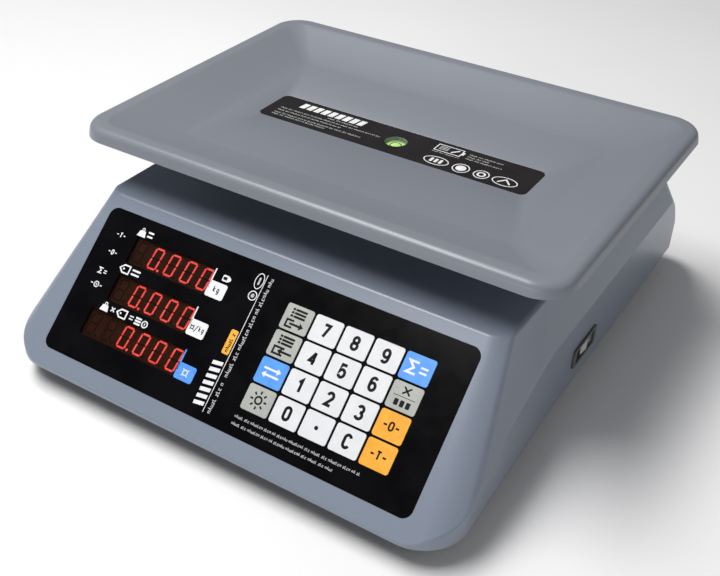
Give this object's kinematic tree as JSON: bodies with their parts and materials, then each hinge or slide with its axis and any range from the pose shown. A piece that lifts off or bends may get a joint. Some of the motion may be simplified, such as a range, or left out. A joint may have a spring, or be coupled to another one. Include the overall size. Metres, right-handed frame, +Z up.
{
  "type": "counting scale",
  "caption": "Counter-top counting and price scale with a lift-off pan, sloping keypad panel with three displays, load cell, customer display and levelling feet.",
  "frame": {"origin": "on the counter, centre of the base of the whole object's bounding box", "axes": "+X to the operator's right, +Y away from the operator, +Z up"},
  "size_m": [0.33, 0.362, 0.132],
  "materials": {
    "housing_plastic": "fine satin moulded texture, slate grey",
    "base_plastic": "dark grey moulded texture",
    "screw_steel": "zinc-plated steel",
    "overlay_film": "glossy black printed film",
    "smoked_filter": "smoked dark red acrylic",
    "digit_module": "dark display module with red segments",
    "circuit_board": "green solder mask",
    "battery_case": "black moulded battery case",
    "socket_plastic": "black nylon",
    "switch_plastic": "dark grey nylon",
    "cast_aluminium": "sand-cast, slightly rough",
    "cell_aluminium": "machined and clear anodised",
    "pad_rubber": "black rubber",
    "vial_clear": "clear acrylic",
    "level_liquid": "yellow-green level liquid",
    "pan_plastic": "satin moulded slate grey",
    "label_film": "black printed label",
    "cable_sheath": "grey PVC",
    "key_white": "white printed key",
    "key_grey": "grey printed key",
    "key_blue": "blue printed key",
    "key_orange": "orange printed key",
    "foot_plastic": "black nylon wheel on a plated stud"
  },
  "bodies": {
    "housing": {"top_cover": "housing_plastic", "base_shell": "base_plastic", "cover_screws": "screw_steel", "front_overlay": "overlay_film", "rear_overlay": "overlay_film", "display_filter": "smoked_filter", "rear_filter": "smoked_filter", "front_digits": "digit_module", "rear_digits": "digit_module", "display_board": "circuit_board", "keypad_board": "circuit_board", "rear_board": "circuit_board", "main_board": "circuit_board", "board_screws": "screw_steel", "battery": "battery_case", "power_inlet": "socket_plastic", "switch_bezel": "switch_plastic", "cell_frame": "cast_aluminium", "load_cell": "cell_aluminium", "cell_lower_screws": "screw_steel", "overload_stop": "screw_steel", "cell_cable": "cable_sheath", "panel_ribbon": "cable_sheath"},
    "platform": {"pan_support": "cast_aluminium", "cell_upper_screws": "screw_steel", "support_pads": "pad_rubber", "level_vial": "vial_clear", "level_fluid": "level_liquid"},
    "pan": {"weighing_pan": "pan_plastic", "pan_label": "label_film"},
    "battery_door": {"battery_door": "base_plastic"},
    "power_rocker": {"power_rocker": "switch_plastic"},
    "key_recall": {"key_recall": "key_grey"},
    "key_7": {"key_7": "key_white"},
    "key_8": {"key_8": "key_white"},
    "key_9": {"key_9": "key_white"},
    "key_sum": {"key_sum": "key_blue"},
    "key_store": {"key_store": "key_grey"},
    "key_4": {"key_4": "key_white"},
    "key_5": {"key_5": "key_white"},
    "key_6": {"key_6": "key_white"},
    "key_reset": {"key_reset": "key_grey"},
    "key_change": {"key_change": "key_blue"},
    "key_1": {"key_1": "key_white"},
    "key_2": {"key_2": "key_white"},
    "key_3": {"key_3": "key_white"},
    "key_zero": {"key_zero": "key_orange"},
    "key_light": {"key_light": "key_grey"},
    "key_0": {"key_0": "key_white"},
    "key_point": {"key_point": "key_white"},
    "key_clear": {"key_clear": "key_white"},
    "key_tare": {"key_tare": "key_orange"},
    "foot_pad_front_left": {"foot_pad_front_left": "pad_rubber"},
    "foot_pad_front_right": {"foot_pad_front_right": "pad_rubber"},
    "foot_pad_rear_left": {"foot_pad_rear_left": "pad_rubber"},
    "foot_pad_rear_right": {"foot_pad_rear_right": "pad_rubber"},
    "foot_screw_front_left": {"foot_screw_front_left": "foot_plastic"},
    "foot_screw_front_right": {"foot_screw_front_right": "foot_plastic"},
    "foot_screw_rear_left": {"foot_screw_rear_left": "foot_plastic"},
    "foot_screw_rear_right": {"foot_screw_rear_right": "foot_plastic"}
  },
  "joints": [
    {"name": "weigh_travel", "type": "slide", "parent": "housing", "child": "platform", "axis": [0, 0, -1], "range_m": [0, 0.0008], "stiffness_N_per_m": 300000, "deforming": ["load_cell"]},
    {"name": "pan_lift", "type": "slide", "parent": "platform", "child": "pan", "axis": [0, 0, 1], "range_m": [0, 0.06]},
    {"name": "battery_door_slide", "type": "slide", "parent": "housing", "child": "battery_door", "axis": [0, 1, 0], "range_m": [0, 0.11]},
    {"name": "power_switch", "type": "hinge", "parent": "housing", "child": "power_rocker", "pos_m": [0.1465, 0.002, 0.034], "axis": [0, 0, 1], "range_deg": [0, 12]},
    {"name": "key_recall_press", "type": "slide", "parent": "housing", "child": "key_recall", "axis": [0, 0.6575, -0.7534], "range_m": [0, 0.0005], "stiffness_N_per_m": 3000},
    {"name": "key_7_press", "type": "slide", "parent": "housing", "child": "key_7", "axis": [0, 0.6575, -0.7534], "range_m": [0, 0.0005], "stiffness_N_per_m": 3000},
    {"name": "key_8_press", "type": "slide", "parent": "housing", "child": "key_8", "axis": [0, 0.6575, -0.7534], "range_m": [0, 0.0005], "stiffness_N_per_m": 3000},
    {"name": "key_9_press", "type": "slide", "parent": "housing", "child": "key_9", "axis": [0, 0.6575, -0.7534], "range_m": [0, 0.0005], "stiffness_N_per_m": 3000},
    {"name": "key_sum_press", "type": "slide", "parent": "housing", "child": "key_sum", "axis": [0, 0.6575, -0.7534], "range_m": [0, 0.0005], "stiffness_N_per_m": 3000},
    {"name": "key_store_press", "type": "slide", "parent": "housing", "child": "key_store", "axis": [0, 0.6575, -0.7534], "range_m": [0, 0.0005], "stiffness_N_per_m": 3000},
    {"name": "key_4_press", "type": "slide", "parent": "housing", "child": "key_4", "axis": [0, 0.6575, -0.7534], "range_m": [0, 0.0005], "stiffness_N_per_m": 3000},
    {"name": "key_5_press", "type": "slide", "parent": "housing", "child": "key_5", "axis": [0, 0.6575, -0.7534], "range_m": [0, 0.0005], "stiffness_N_per_m": 3000},
    {"name": "key_6_press", "type": "slide", "parent": "housing", "child": "key_6", "axis": [0, 0.6575, -0.7534], "range_m": [0, 0.0005], "stiffness_N_per_m": 3000},
    {"name": "key_reset_press", "type": "slide", "parent": "housing", "child": "key_reset", "axis": [0, 0.6575, -0.7534], "range_m": [0, 0.0005], "stiffness_N_per_m": 3000},
    {"name": "key_change_press", "type": "slide", "parent": "housing", "child": "key_change", "axis": [0, 0.6575, -0.7534], "range_m": [0, 0.0005], "stiffness_N_per_m": 3000},
    {"name": "key_1_press", "type": "slide", "parent": "housing", "child": "key_1", "axis": [0, 0.6575, -0.7534], "range_m": [0, 0.0005], "stiffness_N_per_m": 3000},
    {"name": "key_2_press", "type": "slide", "parent": "housing", "child": "key_2", "axis": [0, 0.6575, -0.7534], "range_m": [0, 0.0005], "stiffness_N_per_m": 3000},
    {"name": "key_3_press", "type": "slide", "parent": "housing", "child": "key_3", "axis": [0, 0.6575, -0.7534], "range_m": [0, 0.0005], "stiffness_N_per_m": 3000},
    {"name": "key_zero_press", "type": "slide", "parent": "housing", "child": "key_zero", "axis": [0, 0.6575, -0.7534], "range_m": [0, 0.0005], "stiffness_N_per_m": 3000},
    {"name": "key_light_press", "type": "slide", "parent": "housing", "child": "key_light", "axis": [0, 0.6575, -0.7534], "range_m": [0, 0.0005], "stiffness_N_per_m": 3000},
    {"name": "key_0_press", "type": "slide", "parent": "housing", "child": "key_0", "axis": [0, 0.6575, -0.7534], "range_m": [0, 0.0005], "stiffness_N_per_m": 3000},
    {"name": "key_point_press", "type": "slide", "parent": "housing", "child": "key_point", "axis": [0, 0.6575, -0.7534], "range_m": [0, 0.0005], "stiffness_N_per_m": 3000},
    {"name": "key_clear_press", "type": "slide", "parent": "housing", "child": "key_clear", "axis": [0, 0.6575, -0.7534], "range_m": [0, 0.0005], "stiffness_N_per_m": 3000},
    {"name": "key_tare_press", "type": "slide", "parent": "housing", "child": "key_tare", "axis": [0, 0.6575, -0.7534], "range_m": [0, 0.0005], "stiffness_N_per_m": 3000},
    {"name": "foot_lift_front_left", "type": "slide", "parent": "housing", "child": "foot_pad_front_left", "axis": [0, 0, -1], "range_m": [0, 0.008]},
    {"name": "foot_turn_front_left", "type": "hinge", "parent": "foot_pad_front_left", "child": "foot_screw_front_left", "pos_m": [-0.118, -0.14, 0.006], "axis": [0, 0, -1], "range_deg": [0, 2300]},
    {"name": "foot_lift_front_right", "type": "slide", "parent": "housing", "child": "foot_pad_front_right", "axis": [0, 0, -1], "range_m": [0, 0.008]},
    {"name": "foot_turn_front_right", "type": "hinge", "parent": "foot_pad_front_right", "child": "foot_screw_front_right", "pos_m": [0.118, -0.14, 0.006], "axis": [0, 0, -1], "range_deg": [0, 2300]},
    {"name": "foot_lift_rear_left", "type": "slide", "parent": "housing", "child": "foot_pad_rear_left", "axis": [0, 0, -1], "range_m": [0, 0.008]},
    {"name": "foot_turn_rear_left", "type": "hinge", "parent": "foot_pad_rear_left", "child": "foot_screw_rear_left", "pos_m": [-0.118, 0.145, 0.006], "axis": [0, 0, -1], "range_deg": [0, 2300]},
    {"name": "foot_lift_rear_right", "type": "slide", "parent": "housing", "child": "foot_pad_rear_right", "axis": [0, 0, -1], "range_m": [0, 0.008]},
    {"name": "foot_turn_rear_right", "type": "hinge", "parent": "foot_pad_rear_right", "child": "foot_screw_rear_right", "pos_m": [0.118, 0.145, 0.006], "axis": [0, 0, -1], "range_deg": [0, 2300]}
  ],
  "couplings": [
    {"joint": "foot_lift_front_left", "follows": "foot_turn_front_left", "m_per_rad": 0.00019894},
    {"joint": "foot_lift_front_right", "follows": "foot_turn_front_right", "m_per_rad": 0.00019894},
    {"joint": "foot_lift_rear_left", "follows": "foot_turn_rear_left", "m_per_rad": 0.00019894},
    {"joint": "foot_lift_rear_right", "follows": "foot_turn_rear_right", "m_per_rad": 0.00019894}
  ]
}
